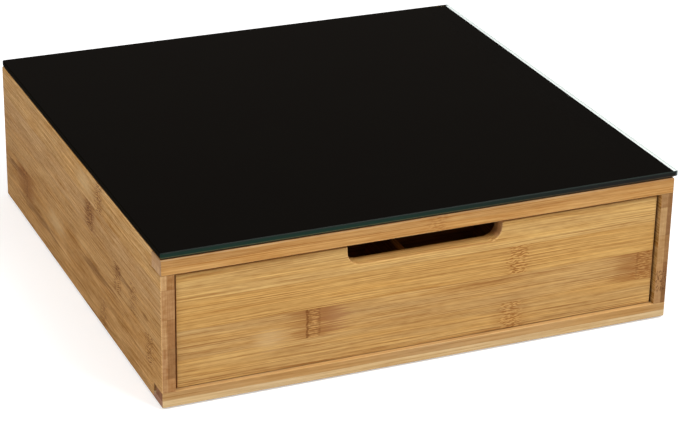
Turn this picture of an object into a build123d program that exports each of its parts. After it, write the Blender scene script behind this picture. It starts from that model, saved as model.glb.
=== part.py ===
from build123d import *
import os

os.makedirs("parts", exist_ok=True)

# Coffee capsule drawer: a flat bamboo case with a black-backed glass top and one drawer.
# Millimetres. X runs to the right and Y to the back, seen from the front. Z is up.
# The origin is under the middle of the case, on the plane that its foot pads stand on.

# Case
case_width = 310.0
case_depth = 310.0
case_height = 88.0
side_thickness = 7.8
back_thickness = 7.8
rail_height = 9.2
rail_depth = 14.0
panel_thickness = 5.0
housing_depth = 4.0
glue_gap = 0.1
arris = 0.9
inner_arris = 0.5
back_corner_radius = 3.0

# Foot pads
pad_radius = 3.6
pad_height = 1.2
pad_inset = 14.0
pad_rounding = 0.4

# Glass top. It sits a little off the case: a negative overhang ends inside the wood's face. The
# black coating stops short of the pane's right edge and leaves a clear margin there.
glass_overhang_left = -0.4
glass_overhang_right = 2.6
glass_overhang_front = -0.8
glass_overhang_back = -1.2
glass_clear_margin = 1.8
glass_thickness = 3.2
glass_corner_radius = 1.5
glass_chamfer = 0.35
backing_thickness = 0.2
bond_thickness = 0.5
bond_pad_radius = 8.0
bond_pad_rows = 3
bond_pad_inset = 24.0

# Drawer
front_thickness = 9.6
front_recess = 2.5
drawer_side_gap = 1.6
drawer_top_gap = 1.6
drawer_running_gap = 0.3
drawer_back_gap = 0.3
wall_thickness = 7.0
wall_height = 57.0
wall_rounding = 1.5
wall_housing = 5.0
bottom_thickness = 4.0
bottom_lift = 4.0
bottom_housing = 3.5
slot_width = 93.5
slot_depth = 11.6
slot_corner_radius = 8.0
slot_arris = 0.8

# Capsule dividers
columns = 4
rows = 4
divider_thickness = 4.0
divider_height = 37.5
divider_housing = 2.0
divider_rounding = 1.0
slip_gap = 0.15

# Levels and faces worked out from the sizes above
left = -case_width / 2
right = case_width / 2
front = -case_depth / 2
back = case_depth / 2
base = pad_height
case_top = base + case_height
inner_half = case_width / 2 - side_thickness
rail_back = front + rail_depth
back_inner = back - back_thickness
floor_top = base + rail_height
lid_bottom = case_top - panel_thickness
rail_underside = case_top - rail_height

drawer_half = inner_half - drawer_side_gap
drawer_bottom_z = floor_top + drawer_running_gap
front_top_z = rail_underside - drawer_top_gap
front_face = front + front_recess
front_inside = front_face + front_thickness
wall_front = front_inside - wall_housing
wall_top = drawer_bottom_z + wall_height
wall_inner = drawer_half - wall_thickness
drawer_end = back_inner - drawer_back_gap
back_wall_front = drawer_end - wall_thickness
tray_low = drawer_bottom_z + bottom_lift
tray_top = tray_low + bottom_thickness

divider_top = tray_top + divider_height
half_lap = tray_top + divider_height / 2
column_pitch = (2 * wall_inner + divider_thickness) / columns
row_pitch = (back_wall_front - front_inside + divider_thickness) / rows
column_lines = [-wall_inner - divider_thickness / 2 + column_pitch * (i + 1) for i in range(columns - 1)]
row_lines = [front_inside - divider_thickness / 2 + row_pitch * (i + 1) for i in range(rows - 1)]


def block(x0, x1, y0, y1, z0, z1, mode=Mode.ADD):
    """Adds, or cuts, a rectangular block between two opposite corners in the current part."""
    with Locations(((x0 + x1) / 2, (y0 + y1) / 2, (z0 + z1) / 2)):
        Box(abs(x1 - x0), abs(y1 - y0), abs(z1 - z0), mode=mode)


def on_outline(edge):
    """True for an edge on the upright outer faces of the case, its rounded corners included."""
    at = edge.center()
    outer_x = abs(at.X) > case_width / 2 - back_corner_radius
    outer_y = at.Y > case_depth / 2 - back_corner_radius
    return outer_x or outer_y


# Left side of the case: notched at both front corners for the rails, with a rebate at its
# inner top edge for the lid panel and a groove near its foot for the floor panel.
with BuildPart() as case_side_left:
    with BuildSketch(Plane.YZ.offset(left)):
        with BuildLine():
            Polyline(
                (rail_back, base),
                (back, base),
                (back, case_top),
                (rail_back, case_top),
                (rail_back, rail_underside),
                (front, rail_underside),
                (front, floor_top),
                (rail_back, floor_top),
                close=True,
            )
        make_face()
    extrude(amount=side_thickness)
    uprights = case_side_left.edges().filter_by(Axis.Z).group_by(Axis.X)[0]
    fillet(uprights.group_by(Axis.Y)[-1], radius=back_corner_radius)
    fillet(case_side_left.edges().filter_by(Axis.Z).group_by(Axis.X)[0].group_by(Axis.Y)[0], radius=arris)
    for face in (case_side_left.faces().sort_by(Axis.Z)[-1], case_side_left.faces().sort_by(Axis.Z)[0]):
        rim = [e for e in face.edges() if on_outline(e) and e.length > arris and e.center().Y > rail_back + arris]
        fillet(rim, radius=arris)
    housing_x = -inner_half - housing_depth
    housing_y = back_inner + housing_depth
    block(housing_x, -inner_half, rail_back, housing_y, lid_bottom, case_top, Mode.SUBTRACT)
    block(housing_x, -inner_half, rail_back, housing_y, floor_top - panel_thickness - glue_gap, floor_top,
          Mode.SUBTRACT)
case_side_left.part.label = "case_side_left"
export_step(case_side_left.part, "parts/case_side_left.step")

with BuildPart() as case_side_right:
    mirror(case_side_left.part, about=Plane.YZ)
case_side_right.part.label = "case_side_right"
export_step(case_side_right.part, "parts/case_side_right.step")

# Front rails: full width across the case, lying in the notches of the sides, so their end
# grain shows on the outer side faces. The lid panel drops into a stopped rebate in the top rail.
with BuildPart() as case_rail_top:
    block(left, right, front, rail_back, rail_underside, case_top)
    front_edges = case_rail_top.faces().sort_by(Axis.Y)[0].edges()
    end_edges = case_rail_top.faces().sort_by(Axis.Z)[-1].edges().filter_by(Axis.Y)
    fillet(front_edges.sort_by(Axis.Z)[1:] + end_edges, radius=arris)
    fillet(case_rail_top.faces().sort_by(Axis.Y)[0].edges().sort_by(Axis.Z)[0], radius=inner_arris)
    block(-inner_half - housing_depth, inner_half + housing_depth, rail_back - housing_depth, rail_back,
          lid_bottom, case_top, Mode.SUBTRACT)
case_rail_top.part.label = "case_rail_top"
export_step(case_rail_top.part, "parts/case_rail_top.step")

# The floor panel lies in a rebate that runs through to both ends of the bottom rail, which
# leaves the small dark hole behind the rail's end grain at the foot of each side.
with BuildPart() as case_rail_bottom:
    block(left, right, front, rail_back, base, floor_top)
    front_edges = case_rail_bottom.faces().sort_by(Axis.Y)[0].edges()
    end_edges = case_rail_bottom.faces().sort_by(Axis.Z)[0].edges().filter_by(Axis.Y)
    fillet(front_edges.sort_by(Axis.Z)[:-1] + end_edges, radius=arris)
    fillet(case_rail_bottom.faces().sort_by(Axis.Y)[0].edges().sort_by(Axis.Z)[-1], radius=inner_arris)
    block(left, right, rail_back - housing_depth, rail_back, floor_top - panel_thickness - glue_gap, floor_top,
          Mode.SUBTRACT)
case_rail_bottom.part.label = "case_rail_bottom"
export_step(case_rail_bottom.part, "parts/case_rail_bottom.step")

# Back of the case, between the sides, housed for the same two panels.
with BuildPart() as case_back:
    block(-inner_half, inner_half, back_inner, back, base, case_top)
    fillet(case_back.edges().filter_by(Axis.X).group_by(Axis.Y)[-1], radius=arris)
    housed_y = back_inner + housing_depth
    block(-inner_half, inner_half, back_inner, housed_y, lid_bottom, case_top, Mode.SUBTRACT)
    block(-inner_half, inner_half, back_inner, housed_y, floor_top - panel_thickness - glue_gap, floor_top,
          Mode.SUBTRACT)
case_back.part.label = "case_back"
export_step(case_back.part, "parts/case_back.step")

# Lid and floor panels: thin boards of one size, flush with the top of the case and with the
# top of the bottom rail. The drawer slides on the floor panel.
panel_half = inner_half + housing_depth - glue_gap
panel_front = rail_back - housing_depth + glue_gap
panel_back = back_inner + housing_depth - glue_gap

with BuildPart() as case_lid_panel:
    block(-panel_half, panel_half, panel_front, panel_back, lid_bottom, case_top)
case_lid_panel.part.label = "case_lid_panel"
export_step(case_lid_panel.part, "parts/case_lid_panel.step")

with BuildPart() as case_floor_panel:
    block(-panel_half, panel_half, panel_front, panel_back, floor_top - panel_thickness, floor_top)
case_floor_panel.part.label = "case_floor_panel"
export_step(case_floor_panel.part, "parts/case_floor_panel.step")

# Four soft pads under the front rail and the back.
with BuildPart() as foot_pads:
    pad_x = case_width / 2 - pad_inset
    pad_rows = (rail_back - rail_depth / 2, back - back_thickness / 2)
    with BuildSketch(Plane.XY):
        with Locations(*[(x, y) for y in pad_rows for x in (-pad_x, pad_x)]):
            Circle(pad_radius)
    extrude(amount=pad_height)
    fillet(foot_pads.edges().group_by(Axis.Z)[0], radius=pad_rounding)
foot_pads.part.label = "foot_pads"
export_step(foot_pads.part, "parts/foot_pads.step")

# Glass top: soft adhesive pads hold the pane a little above the wood, its underside is
# coated black, and its edges are ground and polished.
with BuildPart() as glass_bond_pads:
    bond_pitch_x = (case_width - 2 * bond_pad_inset - 2 * bond_pad_radius) / (bond_pad_rows - 1)
    bond_pitch_y = (case_depth - 2 * bond_pad_inset - 2 * bond_pad_radius) / (bond_pad_rows - 1)
    with BuildSketch(Plane.XY.offset(case_top)):
        with GridLocations(bond_pitch_x, bond_pitch_y, bond_pad_rows, bond_pad_rows):
            Circle(bond_pad_radius)
    extrude(amount=bond_thickness)
glass_bond_pads.part.label = "glass_bond_pads"
export_step(glass_bond_pads.part, "parts/glass_bond_pads.step")

backing_low = case_top + bond_thickness
pane_low = backing_low + backing_thickness
pane_left = left - glass_overhang_left
pane_right = right + glass_overhang_right
pane_front = front - glass_overhang_front
pane_back = back + glass_overhang_back
pane_middle_y = (pane_front + pane_back) / 2
coated_left = pane_left + glass_chamfer
coated_right = pane_right - glass_clear_margin

with BuildPart() as glass_backing:
    with BuildSketch(Plane(((coated_left + coated_right) / 2, pane_middle_y, backing_low))):
        RectangleRounded(coated_right - coated_left, pane_back - pane_front - 2 * glass_chamfer,
                         glass_corner_radius)
    extrude(amount=backing_thickness)
glass_backing.part.label = "glass_backing"
export_step(glass_backing.part, "parts/glass_backing.step")

with BuildPart() as glass_top:
    with BuildSketch(Plane(((pane_left + pane_right) / 2, pane_middle_y, pane_low))):
        RectangleRounded(pane_right - pane_left, pane_back - pane_front, glass_corner_radius)
    extrude(amount=glass_thickness)
    chamfer(glass_top.faces().sort_by(Axis.Z)[-1].edges(), length=glass_chamfer)
    chamfer(glass_top.faces().sort_by(Axis.Z)[0].edges(), length=glass_chamfer)
glass_top.part.label = "glass_top"
export_step(glass_top.part, "parts/glass_top.step")

# Drawer front: a flat board with a finger slot open at its top edge, rebated at its ends for
# the side walls, and grooved for the drawer bottom and the lane dividers.
groove_low = tray_low - glue_gap
housed_top = divider_top + glue_gap
slat_half = divider_thickness / 2 + slip_gap

with BuildPart() as drawer_front:
    block(-drawer_half, drawer_half, front_face, front_inside, drawer_bottom_z, front_top_z)
    fillet(drawer_front.faces().sort_by(Axis.Y)[0].edges(), radius=inner_arris)
    with BuildSketch(Plane.XZ.offset(-front_face)):
        with Locations((0, front_top_z)):
            RectangleRounded(slot_width, 2 * slot_depth, slot_corner_radius)
    extrude(amount=-front_thickness, mode=Mode.SUBTRACT)
    across_or_up = drawer_front.edges().filter_by(Axis.Y, reverse=True)
    slot_rim = [e for e in across_or_up if abs(e.center().X) < slot_width / 2 + slot_arris
                and front_top_z - slot_depth - slot_arris < e.center().Z < front_top_z - inner_arris]
    fillet(slot_rim, radius=slot_arris)
    for side in (-1, 1):
        block(side * (wall_inner - glue_gap), side * drawer_half, wall_front, front_inside,
              drawer_bottom_z, wall_top + glue_gap, Mode.SUBTRACT)
    tray_reach = wall_inner + bottom_housing
    block(-tray_reach, tray_reach, front_inside - bottom_housing, front_inside, groove_low, tray_top,
          Mode.SUBTRACT)
    for x in column_lines:
        block(x - slat_half, x + slat_half, front_inside - divider_housing, front_inside, tray_top, housed_top,
              Mode.SUBTRACT)
drawer_front.part.label = "drawer_front"
export_step(drawer_front.part, "parts/drawer_front.step")

# Drawer side walls: lower than the front, rounded along the top, grooved for the bottom and
# housed for the ends of the cross dividers.
with BuildPart() as drawer_wall_left:
    block(-drawer_half, -wall_inner, wall_front + glue_gap, drawer_end, drawer_bottom_z, wall_top)
    fillet(drawer_wall_left.edges().filter_by(Axis.Y).group_by(Axis.Z)[-1], radius=wall_rounding)
    block(-wall_inner - bottom_housing, -wall_inner, wall_front, drawer_end, groove_low, tray_top, Mode.SUBTRACT)
    for y in row_lines:
        block(-wall_inner - divider_housing, -wall_inner, y - slat_half, y + slat_half, tray_top, housed_top,
              Mode.SUBTRACT)
drawer_wall_left.part.label = "drawer_wall_left"
export_step(drawer_wall_left.part, "parts/drawer_wall_left.step")

with BuildPart() as drawer_wall_right:
    mirror(drawer_wall_left.part, about=Plane.YZ)
drawer_wall_right.part.label = "drawer_wall_right"
export_step(drawer_wall_right.part, "parts/drawer_wall_right.step")

with BuildPart() as drawer_wall_back:
    block(-wall_inner, wall_inner, back_wall_front, drawer_end, drawer_bottom_z, wall_top)
    fillet(drawer_wall_back.edges().filter_by(Axis.X).group_by(Axis.Z)[-1], radius=wall_rounding)
    block(-wall_inner, wall_inner, back_wall_front, back_wall_front + bottom_housing, groove_low, tray_top,
          Mode.SUBTRACT)
    for x in column_lines:
        block(x - slat_half, x + slat_half, back_wall_front, back_wall_front + divider_housing, tray_top,
              housed_top, Mode.SUBTRACT)
drawer_wall_back.part.label = "drawer_wall_back"
export_step(drawer_wall_back.part, "parts/drawer_wall_back.step")

with BuildPart() as drawer_bottom:
    bottom_half = wall_inner + bottom_housing - glue_gap
    bottom_front = front_inside - bottom_housing + glue_gap
    bottom_back = back_wall_front + bottom_housing - glue_gap
    block(-bottom_half, bottom_half, bottom_front, bottom_back, tray_low, tray_top)
drawer_bottom.part.label = "drawer_bottom"
export_step(drawer_bottom.part, "parts/drawer_bottom.step")

# Dividers: slats that cross in half laps. Those that run to the back are notched from above
# and the cross ones from below, and the ends of all of them sit in housings in the walls.
slat_front = front_inside - divider_housing + slip_gap
slat_back = back_wall_front + divider_housing - slip_gap
slat_reach = wall_inner + divider_housing - slip_gap

for number, x in enumerate(column_lines, start=1):
    with BuildPart() as lane_divider:
        block(x - divider_thickness / 2, x + divider_thickness / 2, slat_front, slat_back, tray_top, divider_top)
        fillet(lane_divider.edges().filter_by(Axis.Y).group_by(Axis.Z)[-1], radius=divider_rounding)
        for y in row_lines:
            block(x - divider_thickness, x + divider_thickness, y - slat_half, y + slat_half,
                  half_lap - slip_gap, divider_top, Mode.SUBTRACT)
    lane_divider.part.label = f"lane_divider_{number}"
    export_step(lane_divider.part, f"parts/lane_divider_{number}.step")

for number, y in enumerate(row_lines, start=1):
    with BuildPart() as cross_divider:
        block(-slat_reach, slat_reach, y - divider_thickness / 2, y + divider_thickness / 2, tray_top, divider_top)
        fillet(cross_divider.edges().filter_by(Axis.X).group_by(Axis.Z)[-1], radius=divider_rounding)
        for x in column_lines:
            block(x - slat_half, x + slat_half, y - divider_thickness, y + divider_thickness,
                  tray_top, half_lap, Mode.SUBTRACT)
    cross_divider.part.label = f"cross_divider_{number}"
    export_step(cross_divider.part, f"parts/cross_divider_{number}.step")
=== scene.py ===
import math
from dataclasses import dataclass, field
from typing import NamedTuple

import bpy
from mathutils import Euler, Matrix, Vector


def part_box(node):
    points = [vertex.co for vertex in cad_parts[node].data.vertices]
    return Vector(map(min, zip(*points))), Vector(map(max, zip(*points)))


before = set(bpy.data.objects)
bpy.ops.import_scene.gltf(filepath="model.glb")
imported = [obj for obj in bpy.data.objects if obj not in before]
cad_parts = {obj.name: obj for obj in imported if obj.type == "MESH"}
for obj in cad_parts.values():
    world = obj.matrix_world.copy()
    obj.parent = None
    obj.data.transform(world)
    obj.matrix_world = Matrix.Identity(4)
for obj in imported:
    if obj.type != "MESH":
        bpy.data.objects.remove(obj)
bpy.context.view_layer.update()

# Metres, in the row frame: the origin is under the middle of the case, -Y is the drawer front.
# Sizes named in mm are turned into metres where they are used.
MM = 0.001
AXES = "XYZ"

# Camera: the photograph's viewing angle, read from the corners of the case and the pane. Angles are in
# degrees, and the lens is in mm.
CAMERA_AIM = (0.0092, -0.0109, 0.0317)
CAMERA_AZIMUTH = -23.35
CAMERA_ELEVATION = 24.15
CAMERA_ROLL = 1.035
CAMERA_DISTANCE = 1.4254
CAMERA_LENS = 123.7

# Places on the case in mm, which the boards' strips, plies and marks are counted from
case_left, case_front, case_foot = (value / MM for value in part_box("case_side_left")[0])
case_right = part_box("case_side_right")[1].x / MM
case_rear = -case_front
case_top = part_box("case_side_left")[1].z / MM
drawer_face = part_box("drawer_front")[0].y / MM
CASE_EDGE = {"X": case_left, "Y": case_front}


def srgb(red, green, blue):
    """An 8-bit screen colour as the linear colour that shaders take."""
    def channel(value):
        value /= 255
        return value / 12.92 if value <= 0.04045 else ((value + 0.055) / 1.055) ** 2.4
    return (channel(red), channel(green), channel(blue))


def emptied(data):
    """The node tree of a material or world, without its ready-made nodes."""
    data.use_nodes = True
    data.node_tree.nodes.clear()
    return data.node_tree


class Graph:
    """Adds shader nodes to one node tree. An input is a number, a colour or another node's socket."""

    def __init__(self, tree):
        self.tree = tree

    def node(self, kind, inputs=None, **settings):
        made = self.tree.nodes.new("ShaderNode" + kind)
        for name, value in settings.items():
            setattr(made, name, value)
        for name, value in (inputs or {}).items():
            self.put(made.inputs[name], value)
        return made

    def put(self, socket, value):
        if isinstance(value, bpy.types.NodeSocket):
            self.tree.links.new(value, socket)
        elif socket.type == "RGBA":
            socket.default_value = (*value, 1.0)
        else:
            socket.default_value = value

    def group(self, tree, inputs):
        return self.node("Group", inputs, node_tree=tree).outputs

    def math(self, operation, first, second=0.0, third=0.0):
        made = self.node("Math", {0: first, 1: second, 2: third}, operation=operation)
        return made.outputs[0]

    def times(self, first, second):
        return self.math("MULTIPLY", first, second)

    def apart(self, first, second):
        """How far two numbers are apart."""
        return self.math("ABSOLUTE", self.math("SUBTRACT", first, second))

    def sway(self, noise, amount, base):
        """The base, moved to both sides by a noise times the amount."""
        return self.math("MULTIPLY_ADD", self.math("SUBTRACT", noise, 0.5), amount, base)

    def blend(self, first, share, second):
        """The first number by its share and the second by the rest."""
        return self.math("MULTIPLY_ADD", first, share, self.times(second, 1.0 - share))

    def clamp(self, value):
        return self.node("Clamp", {"Value": value}).outputs[0]

    def smooth(self, value, low, high, out_low=0.0, out_high=1.0):
        """out_low where the value is up to low, smoothly to out_high where it is high or more."""
        made = self.node("MapRange", {"Value": value, "From Min": low, "From Max": high,
                                      "To Min": out_low, "To Max": out_high},
                         interpolation_type="SMOOTHSTEP")
        return made.outputs["Result"]

    def fade(self, value, low, high, strength=1.0):
        """The strength where the value is up to low, smoothly to nothing where it is high or more."""
        return self.smooth(value, low, high, strength, 0.0)

    def split(self, vector):
        return self.node("SeparateXYZ", {0: vector}).outputs

    def vector(self, x, y, z):
        return self.node("CombineXYZ", {"X": x, "Y": y, "Z": z}).outputs[0]

    def noise(self, vector, scale, detail, roughness=0.5):
        made = self.node("TexNoise", {"Vector": vector, "Scale": scale, "Detail": detail,
                                      "Roughness": roughness})
        return made.outputs["Fac"]

    def stretched_noise(self, place, lengths, detail=1.0, roughness=0.5):
        """Noise with cells of these lengths along the three parts of a place."""
        parts = [self.math("DIVIDE", part, length) for part, length in zip(place, lengths)]
        return self.noise(self.vector(*parts), 1.0, detail, roughness)

    def mix(self, factor, first, second, blend="MIX"):
        made = self.node("Mix", {"Factor": factor}, data_type="RGBA", blend_type=blend)
        first_colour, second_colour = (socket for socket in made.inputs if socket.type == "RGBA")
        self.put(first_colour, first)
        self.put(second_colour, second)
        return next(socket for socket in made.outputs if socket.type == "RGBA")

    def tint(self, colour, factor):
        """The colour times a colour factor."""
        return self.mix(1.0, colour, factor, "MULTIPLY")

    def mix_shader(self, factor, first, second):
        return self.node("MixShader", {0: factor, 1: first.outputs[0], 2: second.outputs[0]})


def group_tree(name, inputs, outputs):
    """An empty node group with these sockets, all of them numbers: the tree, its Graph, and the sockets
    that bring its inputs and take its outputs."""
    tree = bpy.data.node_groups.new(name, "ShaderNodeTree")
    for direction, names in (("INPUT", inputs), ("OUTPUT", outputs)):
        for socket_name in names:
            tree.interface.new_socket(socket_name, in_out=direction, socket_type="NodeSocketFloat")
    into = tree.nodes.new("NodeGroupInput")
    out = tree.nodes.new("NodeGroupOutput")
    return tree, Graph(tree), into.outputs, out.inputs


def grain_group():
    """Bamboo fibre in one glued board: strips side by side, plies on top of each other, long streaks.
    Places, lengths and breadths are in mm."""
    tree, graph, given, result = group_tree(
        "bamboo grain", ("Along", "Across", "Through", "Strip", "Ply", "Bands", "Seed"),
        ("Tone", "Warmth", "Fibre", "Row", "Joint", "Strip tone"))
    along, across, through = given["Along"], given["Across"], given["Through"]
    row_place = graph.math("DIVIDE", across, given["Strip"])
    row = graph.math("FLOOR", row_place)
    ply = graph.math("GREATER_THAN", through, given["Ply"])
    strip_of_ply = graph.vector(row, ply, given["Seed"])
    chance = graph.node("TexWhiteNoise", {"Vector": strip_of_ply}, noise_dimensions="3D")
    chances = graph.node("SeparateColor", {0: chance.outputs["Color"]})
    tone_chance, warmth_chance, end_chance = chances.outputs

    # Each strip is cut from its own stretch of a cane, and its fibres bend slowly from side to side
    cane_length = 700.0
    shifted = graph.math("MULTIPLY_ADD", chance.outputs["Value"], cane_length, along)
    bend = graph.stretched_noise((shifted, across, through), (90.0, 14.0, 14.0))
    wavy = graph.sway(bend, 1.6, across)

    def fibres(length, breadth, detail=1.0):
        return graph.stretched_noise((shifted, wavy, through), (length, breadth, breadth), detail, 0.6)

    streak = fibres(110.0, 1.05)
    fine = fibres(55.0, 0.55)
    flecks = fibres(8.0, 1.2)
    dark_vein = graph.smooth(fibres(90.0, 0.5, 0.0), 0.6, 0.7)
    broad = graph.blend(fibres(150.0, 9.0, 0.0), 0.45, fibres(70.0, 3.0))
    tone = graph.math("MULTIPLY_ADD", dark_vein, -0.25, 0.58)
    tone = graph.sway(broad, graph.times(given["Bands"], 0.45), tone)
    for layer, share in ((streak, 1.2), (fine, 1.5), (flecks, 0.6), (tone_chance, 0.1)):
        tone = graph.sway(layer, share, tone)
    patchy = graph.stretched_noise((shifted, across, ply), (90.0, 5.0, 1.0))
    from_joint = graph.times(graph.math("PINGPONG", row_place, 0.5), given["Strip"])
    joint_half = 0.3

    graph.put(result["Tone"], graph.clamp(tone))
    graph.put(result["Warmth"], graph.clamp(graph.sway(patchy, 2.0, warmth_chance)))
    graph.put(result["Fibre"], graph.blend(fine, 0.5, streak))
    graph.put(result["Row"], row)
    graph.put(result["Joint"], graph.fade(from_joint, 0.0, joint_half))
    graph.put(result["Strip tone"], end_chance)
    return tree


def knuckle_group():
    """The mark that a joint of the cane leaves across one strip: a streaky stain, two broken rings across
    the grain with rungs between them, a net of bent fibres and the pale gaps in it. Lengths are in mm."""
    tree, graph, given, result = group_tree(
        "bamboo knuckle",
        ("Along", "Across", "Through", "Row", "Centre", "In row", "Stain", "Lines", "Net", "Reach"),
        ("Stain", "Lines", "Net", "Gaps"))
    along, across, through = given["Along"], given["Across"], given["Through"]
    here = graph.math("COMPARE", given["Row"], given["In row"], 0.5)
    from_centre = graph.math("SUBTRACT", along, given["Centre"])

    def pattern(length, breadth, detail=1.0):
        return graph.stretched_noise((along, across, through), (length, breadth, breadth), detail)

    threads = pattern(22.0, 0.5, 2.0)
    ragged = graph.sway(threads, 24.0, from_centre)
    reach = graph.math("DIVIDE", graph.math("ABSOLUTE", ragged), given["Reach"])
    stain = graph.times(graph.fade(reach, 0.3, 1.0), graph.smooth(threads, 0.35, 0.6, 0.55, 1.0))

    # Short strokes along the grain, side by side, which zigzag more where the net is strong
    bent = graph.sway(pattern(3.5, 2.2), 1.8, from_centre)
    broken = graph.sway(pattern(3.2, 1.1), 1.5, 0.5)
    zigzag = graph.sway(pattern(4.5, 5.0, 0.0), graph.math("MULTIPLY_ADD", given["Net"], 3.1, 0.3), 0.0)
    pitch = graph.math("MULTIPLY_ADD", given["Net"], 0.15, 1.2)
    turns = graph.math("DIVIDE", graph.math("ADD", graph.math("ADD", across, through), zigzag), pitch)
    strokes = graph.math("MULTIPLY_ADD", graph.math("SINE", graph.times(turns, 2 * math.pi)), 0.2, broken)

    first_ring, second_ring = -3.5, 3.3
    first = graph.fade(graph.apart(bent, first_ring), 0.4, 1.1)
    first = graph.times(first, graph.smooth(broken, 0.3, 0.5, 0.45, 1.0))
    second = graph.fade(graph.apart(bent, second_ring), 0.5, 1.5, 0.65)
    second = graph.times(second, graph.smooth(strokes, 0.4, 0.6))
    between = graph.fade(graph.math("ABSOLUTE", bent), 2.6, 3.4)
    rungs = graph.times(between, graph.smooth(strokes, 0.45, 0.75, 0.0, 0.6))
    ring = graph.math("MAXIMUM", graph.math("MAXIMUM", first, second), rungs)
    ring_here = graph.times(here, given["Lines"])

    ragged_ends = graph.sway(pattern(9.0, 1.1, 2.0), 16.0, bent)
    net_here = graph.times(graph.fade(graph.math("ABSOLUTE", ragged_ends), 3.0, 8.0),
                           graph.times(here, given["Net"]))
    gaps = graph.fade(strokes, 0.24, 0.44)
    gaps_here = graph.math("MAXIMUM", net_here, graph.times(between, ring_here))

    graph.put(result["Stain"], graph.times(stain, graph.times(here, given["Stain"])))
    graph.put(result["Lines"], graph.times(ring, ring_here))
    graph.put(result["Net"], graph.times(graph.smooth(strokes, 0.5, 0.7), net_here))
    graph.put(result["Gaps"], graph.times(gaps, gaps_here))
    return tree


def end_grain_group():
    """The cut end of a strip: dark fibre bundles as dots, closer together towards the cane's skin.
    Places and breadths are in mm."""
    tree, graph, given, result = group_tree("bamboo end", ("Across", "Through", "Ply"), ("Dots", "Layers"))
    across, through = given["Across"], given["Through"]
    bundle_breadth, bundle_height = 1.0, 0.5
    place = graph.vector(graph.math("DIVIDE", across, bundle_breadth),
                         graph.math("DIVIDE", through, bundle_height), 0.0)
    cells = graph.node("TexVoronoi", {"Vector": place, "Scale": 1.0}, feature="F1")
    skin = graph.math("FRACT", graph.math("DIVIDE", through, given["Ply"]))
    dot_size = graph.math("MULTIPLY_ADD", skin, 0.3, 0.35)
    layers = graph.stretched_noise((across, through, 0.0), (14.0, 0.55, 1.0))
    bands = graph.stretched_noise((across, through, 7.0), (2.2, 5.0, 1.0), 2.0)
    graph.put(result["Dots"], graph.fade(cells.outputs["Distance"], 0.15, dot_size))
    graph.put(result["Layers"], graph.blend(layers, 0.45, bands))
    return tree


GRAIN = grain_group()
KNUCKLE = knuckle_group()
END_GRAIN = end_grain_group()

# The layers of a knuckle's mark, in the order in which they are painted
MARK_STRENGTHS = {"Stain": 0.65, "Gaps": 0.42, "Net": 0.75, "Lines": 0.75}
FRONT_MARKS = {"Stain": srgb(140, 84, 38), "Gaps": srgb(224, 178, 110), "Net": srgb(138, 78, 26),
               "Lines": srgb(112, 64, 26)}
SIDE_MARKS = {"Stain": srgb(130, 68, 2), "Gaps": srgb(206, 162, 96), "Net": srgb(104, 48, 2),
              "Lines": srgb(104, 48, 2)}
# How far a knuckle's lines lower the relief, as a share of its height
STROKE_DEPTH = 0.8

# The glue line between two strips, and how strongly it shows
JOINT_LINE = srgb(140, 96, 54)
JOINT_ON_FACE = 0.2
JOINT_ON_END = 0.35

# Dark fibre ends, arrises pale from wear and a painted highlight, and painted shade in the cuts and under
# the pane
CLOTTED_END = srgb(96, 56, 30)
WORN_AND_LIT_EDGE = srgb(236, 198, 142)
SHADED_CUT = srgb(66, 42, 24)
SHADE_UNDER_PANE = 0.85

# Colour factors that a strip's colour drifts between
WARM_STRIP = (1.03, 0.97, 0.86)
COOL_STRIP = (0.97, 1.0, 1.1)


class Knuckle(NamedTuple):
    """A joint of the cane on one strip. Stain, lines and net are strengths from 0 to 1."""
    centre: float  # along the grain, in mm from the case's left or front edge
    row: int  # the strip, counted from the board's start
    stain: float
    lines: float
    net: float
    reach: float  # how far the stain goes to each side, in mm


class Patch(NamedTuple):
    """A soft oval of another colour. Its places and half sizes are in mm."""
    centre: float  # along the grain, from the case's left or front edge
    level: float  # across the grain, from the board's start
    half_length: float
    half_breadth: float
    colour: tuple
    strength: float


@dataclass
class Board:
    """A bamboo board, glued up from strips side by side in two plies. Places and lengths are in mm."""
    name: str
    grain: str  # the axis that the fibre runs along
    across: str  # the axis that the strips lie side by side on
    light: tuple  # the palest colour of the fibre
    dark: tuple  # its darkest colour
    seed: float
    start: float  # where the strips are counted from
    outer: float  # where the plies are counted from
    strip: float = 17.5  # how broad a strip is
    ply: float = 4.3  # how thick the outer ply is
    ply_tints: tuple = ()  # colour factors of the outer and the inner ply
    row_tints: dict = field(default_factory=dict)  # a colour factor for each strip that differs
    bands: float = 1.0  # strength of the broad, soft streaks
    shorter: float = 1.0  # how many times shorter than usual the fibres run
    knuckles: tuple = ()
    marks: dict = field(default_factory=dict)  # colours of the knuckles' marks
    patches: tuple = ()
    end_light: tuple = srgb(204, 160, 110)  # the palest colour of the cut ends
    end_dark: tuple = srgb(160, 112, 66)  # their darkest colour
    end_tints: dict = field(default_factory=dict)  # factors of a strip's outer and inner ply at its ends
    end_clots: tuple = ()  # the middle and half length of a dark, dotted stretch of the cut end
    face: str = ""  # the axis of a broad face that alone has worn, highlight-painted arrises and painted shade in cuts
    arris: tuple = ()  # colour factor of the arrises: a painted highlight above 1, painted shade below 1


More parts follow.
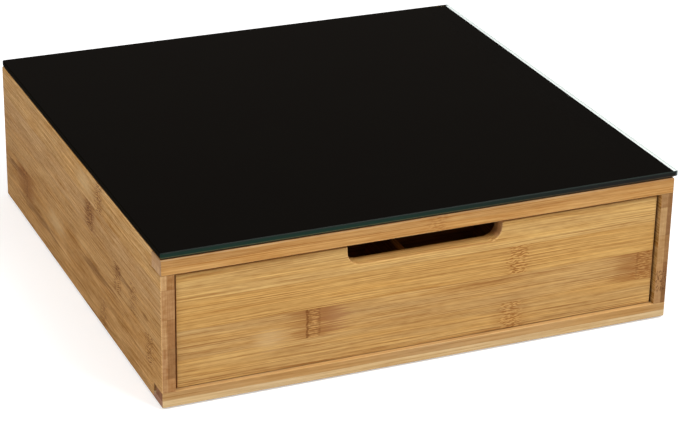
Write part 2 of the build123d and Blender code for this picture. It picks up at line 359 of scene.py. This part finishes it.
class BoardGraph(Graph):
    """The nodes of one board's material, which paint a point by its place in the board."""

    def __init__(self, tree, board):
        super().__init__(tree)
        self.board = board
        place = self.node("TexCoord").outputs
        in_mm = self.node("VectorMath", {0: place["Object"], "Scale": 1 / MM}, operation="SCALE")
        spot = self.split(in_mm.outputs[0])
        normal = self.split(place["Normal"])
        through_axis = next(axis for axis in AXES if axis not in (board.grain, board.across))
        self.facing = {axis: self.math("ABSOLUTE", normal[axis]) for axis in AXES}
        self.height = spot["Z"]
        self.along = spot[board.grain]
        self.over = self.math("SUBTRACT", spot[board.across], board.start)
        self.through = self.apart(spot[through_axis], board.outer)
        self.inner_ply = self.math("GREATER_THAN", self.through, board.ply)
        self.fibre = self.group(GRAIN, {
            "Along": self.times(self.along, board.shorter), "Across": self.over, "Through": self.through,
            "Strip": board.strip, "Ply": board.ply, "Bands": board.bands, "Seed": board.seed})

    def from_edge(self, centre):
        """Where something lies on the grain's axis that is counted from the case's edge."""
        return CASE_EDGE[self.board.grain] + centre

    def tint_row(self, colour, row, factor):
        in_row = self.math("COMPARE", self.fibre["Row"], row, 0.5)
        return self.mix(in_row, colour, self.tint(colour, factor))

    def add_patch(self, colour, patch):
        x = self.math("DIVIDE", self.math("SUBTRACT", self.along, self.from_edge(patch.centre)),
                      patch.half_length)
        y = self.math("DIVIDE", self.math("SUBTRACT", self.over, patch.level), patch.half_breadth)
        radius = self.math("SQRT", self.math("ADD", self.times(x, x), self.times(y, y)))
        frayed = self.sway(self.fibre["Fibre"], 5.0, radius)
        return self.mix(self.fade(frayed, 0.4, 1.2, patch.strength), colour, patch.colour)

    def long_grain(self):
        """The colour of the faces that the fibre runs along, before the knuckles."""
        board = self.board
        colour = self.mix(self.fibre["Tone"], board.dark, board.light)
        colour = self.tint(colour, self.mix(self.fibre["Warmth"], WARM_STRIP, COOL_STRIP))
        for row, factor in board.row_tints.items():
            colour = self.tint_row(colour, row, factor)
        for patch in board.patches:
            colour = self.add_patch(colour, patch)
        return self.mix(self.times(self.fibre["Joint"], JOINT_ON_FACE), colour, JOINT_LINE)

    def add_knuckles(self, colour):
        """The colour with the knuckles' marks, and the fibre's relief, which is lower in their strokes."""
        relief = self.fibre["Fibre"]
        for knuckle in self.board.knuckles:
            mark = self.group(KNUCKLE, {
                "Along": self.along, "Across": self.over, "Through": self.through,
                "Row": self.fibre["Row"], "In row": knuckle.row, "Centre": self.from_edge(knuckle.centre),
                "Stain": knuckle.stain, "Lines": knuckle.lines, "Net": knuckle.net, "Reach": knuckle.reach})
            for layer, strength in MARK_STRENGTHS.items():
                colour = self.mix(self.times(mark[layer], strength), colour, self.board.marks[layer])
            relief = self.math("SUBTRACT", relief, self.times(mark["Lines"], STROKE_DEPTH))
        return colour, relief

    def end_grain(self):
        """The colour of the cut ends."""
        board = self.board
        cut_end = self.group(END_GRAIN, {"Across": self.over, "Through": self.through, "Ply": board.ply})
        strip_tone = self.math("MULTIPLY_ADD", self.fibre["Strip tone"], 0.5, 0.25)
        tone = self.clamp(self.sway(cut_end["Layers"], 1.8, strip_tone))
        colour = self.mix(tone, board.end_dark, board.end_light)
        colour = self.mix(self.times(cut_end["Dots"], 0.25), colour, board.end_dark)
        for row, (outer_factor, inner_factor) in board.end_tints.items():
            colour = self.tint_row(colour, row, self.mix(self.inner_ply, outer_factor, inner_factor))
        if board.end_clots:
            middle, half_length = board.end_clots
            inside = self.fade(self.apart(self.over, middle), half_length - 3.0, half_length)
            clots = self.stretched_noise((self.over, self.through, board.seed), (1.6, 1.1, 1.0))
            clotted = self.times(inside, self.smooth(clots, 0.5, 0.62, 0.1, 0.75))
            colour = self.mix(clotted, colour, CLOTTED_END)
        return self.mix(self.times(self.fibre["Joint"], JOINT_ON_END), colour, JOINT_LINE)

    def add_wear_and_painted_light(self, colour):
        """The colour worn pale at the arrises, partly wear and partly a painted highlight, with painted
        shade deep in the cuts into the board's face, but for their level floors. The board's arris factor
        tints the arrises, a painted highlight above 1 and painted shade below 1. The top face, which the
        pane covers, is painted dark brown as shade."""
        board, facing = self.board, self.facing
        flat = self.math("MAXIMUM", self.math("MAXIMUM", facing["X"], facing["Y"]), facing["Z"])
        arris = self.fade(flat, 0.9, 0.985)
        if board.face:
            outward = facing[board.face]
            arris = self.times(arris, self.smooth(outward, 0.1, 0.3))
            # Painted shade: the cuts into the face darken from 3.6 to 6.2 mm behind it, but for their level
            # floors
            shade_from, shade_to = 3.6, 6.2
            deep = self.smooth(self.through, shade_from, shade_to)
            deep = self.times(deep, self.fade(outward, 0.3, 0.7, 0.36))
            colour = self.mix(self.times(deep, self.fade(facing["Z"], 0.8, 0.95)), colour, SHADED_CUT)
        # The arrises are worn pale, partly wear and partly a painted highlight
        rubbed_and_lit = self.times(self.fibre["Fibre"], 0.3)
        colour = self.mix(self.times(arris, rubbed_and_lit), colour, WORN_AND_LIT_EDGE)
        # The board's arris factor: a painted highlight above 1, painted shade below 1
        if board.arris:
            colour = self.mix(arris, colour, self.tint(colour, board.arris))
        # Painted shade: the top face under the pane is dark brown
        under_pane = self.times(self.math("GREATER_THAN", facing["Z"], 0.985),
                                self.math("GREATER_THAN", self.height, case_top - 0.1))
        return self.mix(self.times(under_pane, SHADE_UNDER_PANE), colour, SHADED_CUT)


def bamboo(board):
    """The material of a board, with a satin, lightly oiled surface."""
    material = bpy.data.materials.new(board.name)
    graph = BoardGraph(emptied(material), board)
    colour, relief = graph.add_knuckles(graph.long_grain())
    colour = graph.mix(graph.smooth(graph.facing[board.grain], 0.55, 0.8), colour, graph.end_grain())
    if board.ply_tints:
        colour = graph.tint(colour, graph.mix(graph.inner_ply, *board.ply_tints))
    bump = graph.node("Bump", {"Strength": 0.35, "Distance": 0.2 * MM, "Height": relief})
    shader = graph.node("BsdfPrincipled", {
        "Base Color": graph.add_wear_and_painted_light(colour), "Normal": bump.outputs[0], "Specular IOR Level": 0.04,
        "Roughness": graph.math("MULTIPLY_ADD", graph.fibre["Fibre"], 0.15, 0.45)})
    graph.node("OutputMaterial", {"Surface": shader.outputs[0]})
    return material


def use(material, *nodes):
    """Gives CAD nodes this material."""
    for node in nodes:
        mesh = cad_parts[node].data
        mesh.materials.clear()
        mesh.materials.append(material)


# The palest and the darkest colour of the fibre
HONEY = (srgb(217, 173, 106), srgb(158, 108, 56))
SIDE = (srgb(208, 166, 111), srgb(149, 99, 30))

# Colours of the patches
PALE_PATCH = srgb(218, 184, 134)
ROSY_PATCH = srgb(158, 110, 72)
SIDE_STREAK = srgb(102, 54, 2)

# The factor of a ply that keeps its colour
EVEN_PLY = (1.0, 1.0, 1.0)

# The drawer front, with painted shade in the deeper part of its slot's walls and of its ends
use(bamboo(Board(
    "bamboo_front", "X", "Z", *HONEY, seed=3.0, start=case_foot + 8.5, outer=drawer_face, strip=17.4,
    ply=4.8, bands=0.5, face="Y", marks=FRONT_MARKS,
    row_tints={0: (0.92, 0.96, 1.01), 1: (0.91, 0.96, 1.06), 2: (0.98, 0.95, 0.82), 3: (1.04, 1.09, 1.08)},
    knuckles=(Knuckle(88.4, 1, stain=0.9, lines=1.0, net=0.0, reach=17.0),
              Knuckle(294.0, 1, stain=1.0, lines=0.4, net=0.7, reach=26.0),
              Knuckle(212.8, 2, stain=0.25, lines=0.0, net=1.0, reach=12.0),
              Knuckle(209.7, 0, stain=0.3, lines=0.0, net=1.0, reach=16.0)),
    patches=(Patch(63.0, 20.4, 9.0, 6.0, PALE_PATCH, 0.4),
             Patch(100.0, 26.0, 10.0, 8.0, ROSY_PATCH, 0.7)),
)), "drawer_front")

# The sides and the back, which are cut from the same kind of board
SIDE_PLY = 3.4
SIDE_BOARD = {"strip": 17.6, "marks": SIDE_MARKS, "bands": 2.2, "shorter": 2.2}
# The left side's arrises are painted lighter, as a painted highlight
use(bamboo(Board(
    "bamboo_side_left", "Y", "Z", *SIDE, seed=11.0, start=case_foot, outer=case_left, ply=SIDE_PLY,
    **SIDE_BOARD, ply_tints=(EVEN_PLY, (0.62, 0.54, 0.44)), arris=(1.18, 1.2, 1.26),
    end_light=srgb(212, 173, 125),
    row_tints={0: (1.12, 1.06, 0.94), 1: (0.98, 0.96, 0.92), 2: (0.97, 0.92, 0.81), 3: (1.01, 0.99, 0.97),
               4: (1.08, 1.12, 1.15)},
    end_tints={0: ((0.9, 0.88, 0.86), (1.3, 1.32, 1.4)), 1: ((0.94, 0.93, 0.96), (0.92, 0.89, 0.91)),
               2: ((1.04, 1.08, 1.1), (0.92, 0.84, 0.82)), 3: ((0.97, 0.97, 0.97), (1.25, 1.3, 1.45)),
               4: ((0.93, 0.91, 0.86), (1.2, 1.2, 1.2))},
    knuckles=(Knuckle(262.0, 1, stain=0.95, lines=0.5, net=0.4, reach=24.0),
              Knuckle(125.0, 3, stain=0.55, lines=0.2, net=1.0, reach=13.0),
              Knuckle(107.0, 4, stain=0.35, lines=0.2, net=0.9, reach=12.0),
              Knuckle(75.0, 2, stain=0.3, lines=0.0, net=0.9, reach=10.0),
              Knuckle(48.0, 2, stain=0.2, lines=0.0, net=0.7, reach=8.0),
              Knuckle(20.0, 1, stain=0.1, lines=0.0, net=1.0, reach=11.0),
              Knuckle(104.0, 0, stain=0.2, lines=0.1, net=0.7, reach=11.0)),
    patches=(Patch(135.0, 79.0, 14.0, 5.0, PALE_PATCH, 0.45),
             Patch(195.0, 27.0, 16.0, 6.0, PALE_PATCH, 0.45),
             Patch(75.0, 50.0, 7.0, 2.4, SIDE_STREAK, 0.75),
             Patch(60.0, 47.5, 20.0, 1.4, SIDE_STREAK, 0.7),
             Patch(26.0, 43.0, 5.0, 1.8, SIDE_STREAK, 0.5),
             Patch(127.0, 61.0, 8.0, 7.0, SIDE_STREAK, 0.5),
             Patch(112.0, 30.5, 42.0, 2.4, SIDE_STREAK, 0.5),
             Patch(235.0, 15.0, 45.0, 3.0, SIDE_STREAK, 0.5),
             Patch(282.0, 29.0, 22.0, 2.6, SIDE_STREAK, 0.5)),
)), "case_side_left")
use(bamboo(Board(
    "bamboo_side_right", "Y", "Z", *SIDE, seed=17.0, start=case_foot, outer=case_right, ply=SIDE_PLY,
    **SIDE_BOARD, ply_tints=((0.56, 0.51, 0.45), (0.86, 0.88, 0.83)), end_clots=(23.5, 8.5),
    end_tints={0: ((0.87, 0.85, 0.88), (1.04, 1.07, 1.2)), 1: ((0.95, 0.9, 0.95), (1.0, 0.96, 0.98)),
               2: ((1.06, 1.08, 1.13), (1.15, 1.24, 1.38)), 3: ((0.87, 0.84, 0.9), (1.04, 1.1, 1.2)),
               4: ((1.0, 1.0, 1.05), (0.8, 0.78, 0.82))},
    knuckles=(Knuckle(60.0, 3, stain=0.6, lines=0.5, net=0.3, reach=14.0),
              Knuckle(196.0, 1, stain=0.9, lines=0.6, net=0.2, reach=18.0),
              Knuckle(232.0, 4, stain=0.4, lines=0.0, net=0.9, reach=10.0),
              Knuckle(118.0, 0, stain=0.4, lines=0.3, net=0.7, reach=12.0)),
)), "case_side_right")
use(bamboo(Board(
    "bamboo_back", "X", "Z", *SIDE, seed=23.0, start=case_foot, outer=case_rear, **SIDE_BOARD,
    knuckles=(Knuckle(62.0, 2, stain=0.7, lines=0.8, net=0.0, reach=16.0),
              Knuckle(171.0, 4, stain=0.4, lines=0.0, net=0.9, reach=10.0),
              Knuckle(226.0, 1, stain=0.7, lines=0.6, net=0.2, reach=18.0)),
)), "case_back")

# The rails and the panels of the case
RAIL_PLY = 4.5
# The top rail's arrises are painted darker, as painted shade
use(bamboo(Board(
    "bamboo_rail_top", "X", "Y", srgb(218, 173, 110), srgb(172, 118, 58), seed=31.0, start=case_front,
    outer=case_top, ply=RAIL_PLY, ply_tints=((0.9, 0.85, 0.78), EVEN_PLY), arris=(0.72, 0.75, 0.94),
    end_light=srgb(206, 166, 122), end_dark=srgb(164, 122, 84), marks=FRONT_MARKS,
    knuckles=(Knuckle(161.0, 0, stain=0.2, lines=0.0, net=0.5, reach=10.0),),
)), "case_rail_top")
use(bamboo(Board(
    "bamboo_rail_bottom", "X", "Y", srgb(234, 204, 156), srgb(198, 160, 108), seed=37.0, start=case_front,
    outer=case_foot, ply=RAIL_PLY, ply_tints=((0.94, 1.0, 1.07), (0.73, 0.64, 0.52)),
    end_light=srgb(184, 136, 106), end_dark=srgb(126, 84, 62),
)), "case_rail_bottom")
# The panels' cut ends are painted dark brown, as painted shade at the back of the housings they sit in
use(bamboo(Board(
    "bamboo_panel", "X", "Y", *HONEY, seed=41.0, start=case_front, outer=case_foot, ply=5.2,
    end_light=srgb(78, 50, 30), end_dark=srgb(46, 28, 16),
)), "case_lid_panel", "case_floor_panel")

# The drawer behind its front. Its plies are counted from the case too, and nearly all of it lies past the
# first of them.
WALL_START = case_foot + 4.0
WALL_PLY = 9.0
SLAT = {"strip": 19.0, "ply": 40.0}
use(bamboo(Board("bamboo_walls", "Y", "Z", *HONEY, seed=43.0, start=WALL_START, outer=case_left,
                 ply=WALL_PLY)), "drawer_wall_left", "drawer_wall_right")
use(bamboo(Board("bamboo_wall_back", "X", "Z", *HONEY, seed=47.0, start=WALL_START, outer=case_rear,
                 ply=WALL_PLY)), "drawer_wall_back")
use(bamboo(Board("bamboo_tray", "X", "Y", *HONEY, seed=53.0, start=case_front, outer=case_foot,
                 ply=WALL_PLY)), "drawer_bottom")
for number in (1, 2, 3):
    lane = Board(f"bamboo_lane_{number}", "Y", "Z", *HONEY, seed=60.0 + number, start=case_foot,
                 outer=case_left, **SLAT)
    cross = Board(f"bamboo_cross_{number}", "X", "Z", *HONEY, seed=70.0 + number, start=case_foot,
                  outer=case_front, **SLAT)
    use(bamboo(lane), f"lane_divider_{number}")
    use(bamboo(cross), f"cross_divider_{number}")


def plain(name, colour, roughness):
    """A dull material with a fine mottle in its colour and its gloss."""
    material = bpy.data.materials.new(name)
    graph = Graph(emptied(material))
    mottle = graph.noise(graph.node("TexCoord").outputs["Object"], 900.0, 3.0)
    lighter = tuple(1.2 * channel + 0.002 for channel in colour)
    bump = graph.node("Bump", {"Strength": 0.2, "Distance": 0.1 * MM, "Height": mottle})
    shader = graph.node("BsdfPrincipled", {
        "Base Color": graph.mix(mottle, colour, lighter), "Normal": bump.outputs[0],
        "Roughness": graph.math("MULTIPLY_ADD", mottle, 0.1, roughness - 0.05)})
    graph.node("OutputMaterial", {"Surface": shader.outputs[0]})
    return material


use(plain("pad_rubber", srgb(58, 56, 54), 0.8), "foot_pads")
use(plain("bond", srgb(30, 30, 30), 0.7), "glass_bond_pads")
use(plain("black_coating", srgb(18, 16, 15), 0.45), "glass_backing")

# The pane, in metres. A point within FACE_DEPTH of its upper or lower plane is on that face. The upper face
# is black up to BLACK_TO and clear from CLEAR_FROM on.
PANE_LOW, PANE_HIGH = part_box("glass_top")
ENAMEL_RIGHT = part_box("glass_backing")[1].x
BLACK_TO = ENAMEL_RIGHT - 25.0 * MM
CLEAR_FROM = ENAMEL_RIGHT - 6.0 * MM
FACE_DEPTH = 0.02 * MM


def pane_faces(graph, place, spot):
    """The pane's two broad faces, with the enamel under it. Near the enamel's right edge it is seen through
    clear glass, and further in the upper face itself is glossy black."""
    smear = graph.noise(place, 28.0, 4.0)
    polish = graph.times(smear, 0.04)
    glass = graph.node("BsdfPrincipled", {
        "Base Color": srgb(244, 250, 248), "Roughness": polish, "Transmission Weight": 1.0, "IOR": 1.5})
    enamel = graph.node("BsdfPrincipled", {
        "Base Color": graph.mix(smear, srgb(12, 9, 7), srgb(17, 13, 11)), "Roughness": 0.5,
        "Specular IOR Level": 0.1})
    black = graph.node("BsdfPrincipled", {
        "Base Color": graph.mix(smear, srgb(1, 0, 0), srgb(2, 2, 1)), "Roughness": polish,
        "Specular IOR Level": 0.45})
    coated = graph.times(graph.math("LESS_THAN", spot["Z"], PANE_LOW.z + FACE_DEPTH),
                         graph.math("LESS_THAN", spot["X"], ENAMEL_RIGHT))
    further_in = graph.times(graph.math("GREATER_THAN", spot["Z"], PANE_HIGH.z - FACE_DEPTH),
                             graph.fade(spot["X"], BLACK_TO, CLEAR_FROM))
    return graph.mix_shader(further_in, graph.mix_shader(coated, glass, enamel), black)


def pane_rim(graph, place, spot, facing):
    """The pane's ground rim. In front it is deep green, with painted shade that darkens it to the right, an
    olive line at its foot that is a painted reflection of the wood, a dull one at its top, and painted
    light that makes it pale grey past the enamel. The other edges are painted nearly black as shade."""
    grind = graph.noise(place, 1500.0, 2.0)
    level = graph.math("DIVIDE", graph.math("SUBTRACT", spot["Z"], PANE_LOW.z), PANE_HIGH.z - PANE_LOW.z)
    rightwards = graph.smooth(spot["X"], -40.0 * MM, 120.0 * MM)
    past_enamel = graph.math("GREATER_THAN", spot["X"], ENAMEL_RIGHT)
    not_front = graph.smooth(facing["Y"], -0.6, -0.2)
    # Painted shade: the front darkens towards the right
    colour = graph.mix(rightwards, srgb(9, 44, 33), srgb(11, 12, 10))
    # Painted reflection of the wood: an olive line at the foot
    wood_reflection = graph.mix(rightwards, srgb(112, 110, 66), srgb(96, 74, 42))
    colour = graph.mix(graph.fade(level, 0.05, 0.25), colour, wood_reflection)
    colour = graph.mix(graph.smooth(level, 0.7, 0.85), colour, srgb(28, 38, 34))
    # Painted light: pale grey past the enamel, where the glass is clear
    colour = graph.mix(past_enamel, colour, srgb(92, 102, 104))
    # Painted shade: the other edges are nearly black
    colour = graph.mix(not_front, colour, srgb(14, 9, 4))
    eased = graph.smooth(graph.math("ABSOLUTE", facing["Z"]), 0.2, 0.6, 1.0, 0.3)
    dullness = graph.math("MULTIPLY_ADD", not_front, 0.4, 0.25)
    return graph.node("BsdfPrincipled", {
        "Base Color": graph.mix(graph.times(grind, 0.4), colour, srgb(10, 18, 16)),
        "Roughness": graph.math("MULTIPLY_ADD", grind, 0.2, dullness),
        "Specular IOR Level": graph.times(graph.math("MULTIPLY_ADD", not_front, -0.13, 0.14), eased)})


def glass_pane():
    """Float glass with black enamel underneath, which stops short of the right edge, so that edge is
    nearly clear."""
    material = bpy.data.materials.new("glass_pane")
    graph = Graph(emptied(material))
    texture = graph.node("TexCoord").outputs
    place = texture["Object"]
    spot, facing = graph.split(place), graph.split(texture["Normal"])
    on_rim = graph.math("LESS_THAN", graph.math("ABSOLUTE", facing["Z"]), 0.9)
    shader = graph.mix_shader(on_rim, pane_faces(graph, place, spot), pane_rim(graph, place, spot, facing))

    clear = graph.node("BsdfTransparent", {"Color": srgb(238, 246, 243)})
    pale = graph.node("BsdfPrincipled", {"Base Color": srgb(150, 172, 164), "Roughness": 0.3})
    on_right_rim = graph.times(graph.math("GREATER_THAN", graph.math("ABSOLUTE", facing["X"]), 0.6),
                               graph.math("GREATER_THAN", spot["X"], ENAMEL_RIGHT))
    shader = graph.mix_shader(on_right_rim, shader, graph.mix_shader(0.12, clear, pale))
    graph.node("OutputMaterial", {"Surface": shader.outputs[0]})
    return material


use(glass_pane(), "glass_top")

# The studio: its colours, and the point that both lamps face
WHITE = (1.0, 1.0, 1.0)
PAPER = (0.8, 0.8, 0.8)
OVERHEAD = (0.9, 0.9, 0.9)
DIM_SIDES = (0.052, 0.045, 0.039)
LAMP_AIM = (0.0, 0.0, 0.05)

# The floor's half size, and how far from the object its glow starts to grow and is whole, in metres
FLOOR_HALF = 6.0
GLOW_NEAR = 0.6
GLOW_FAR = 2.4


def shows_background(graph):
    """1 for a ray straight from the camera or through the glass. A mirrored ray meets the dim studio
    instead, because the photograph's pane is black."""
    path = graph.node("LightPath").outputs
    return graph.math("MAXIMUM", path["Is Camera Ray"], path["Is Transmission Ray"])


def pale_floor():
    """A floor that stays white far off and keeps the object's shadow."""
    corners = [(x * FLOOR_HALF, y * FLOOR_HALF, 0) for x, y in ((-1, -1), (1, -1), (1, 1), (-1, 1))]
    mesh = bpy.data.meshes.new("floor")
    mesh.from_pydata(corners, [], [(0, 1, 2, 3)])
    floor = bpy.data.objects.new("floor", mesh)
    bpy.context.scene.collection.objects.link(floor)

    material = bpy.data.materials.new("floor")
    graph = Graph(emptied(material))
    place = graph.node("TexCoord").outputs["Object"]
    away = graph.node("VectorMath", {0: place}, operation="LENGTH").outputs["Value"]
    strength = graph.times(shows_background(graph), graph.smooth(away, GLOW_NEAR, GLOW_FAR, 0.45, 0.95))
    paper = graph.node("BsdfDiffuse", {"Color": PAPER})
    glow = graph.node("Emission", {"Color": WHITE, "Strength": strength})
    both = graph.node("AddShader", {0: paper.outputs[0], 1: glow.outputs[0]})
    graph.node("OutputMaterial", {"Surface": both.outputs[0]})
    mesh.materials.append(material)


def surround():
    """A white background, and soft light from above on the object."""
    world = bpy.data.worlds.new("studio")
    bpy.context.scene.world = world
    graph = Graph(emptied(world))
    upward = graph.split(graph.node("TexCoord").outputs["Generated"])["Z"]
    sky = graph.mix(graph.smooth(upward, 0.45, 0.85), DIM_SIDES, OVERHEAD)
    colour = graph.mix(shows_background(graph), sky, WHITE)
    light = graph.node("Background", {"Color": colour, "Strength": 1.0})
    graph.node("OutputWorld", {"Surface": light.outputs[0]})


def soft_box(name, place, side, watts):
    """A square area lamp at place that faces the object."""
    data = bpy.data.lights.new(name, "AREA")
    data.shape = "RECTANGLE"
    data.size = side
    data.size_y = side
    data.energy = watts
    lamp = bpy.data.objects.new(name, data)
    bpy.context.scene.collection.objects.link(lamp)
    lamp.location = place
    lamp.rotation_euler = (Vector(LAMP_AIM) - Vector(place)).to_track_quat("-Z", "Y").to_euler()


def camera():
    """The camera at the photograph's viewing angle, with its slight roll."""
    azimuth, elevation = math.radians(CAMERA_AZIMUTH), math.radians(CAMERA_ELEVATION)
    backward = Vector((math.sin(azimuth) * math.cos(elevation), -math.cos(azimuth) * math.cos(elevation),
                       math.sin(elevation)))
    data = bpy.data.cameras.new("camera")
    data.lens = CAMERA_LENS
    eye = bpy.data.objects.new("camera", data)
    bpy.context.scene.collection.objects.link(eye)
    eye.location = Vector(CAMERA_AIM) + backward * CAMERA_DISTANCE
    level = (-backward).to_track_quat("-Z", "Y")
    roll = Euler((0.0, 0.0, math.radians(CAMERA_ROLL))).to_quaternion()
    eye.rotation_euler = (level @ roll).to_euler()
    bpy.context.scene.camera = eye


pale_floor()
surround()
soft_box("key", (0.85, -1.45, 1.85), side=0.9, watts=38.5)
soft_box("fill", (-1.55, -0.75, 1.45), side=1.0, watts=15.0)
camera()
bpy.context.scene.view_settings.view_transform = "Standard"
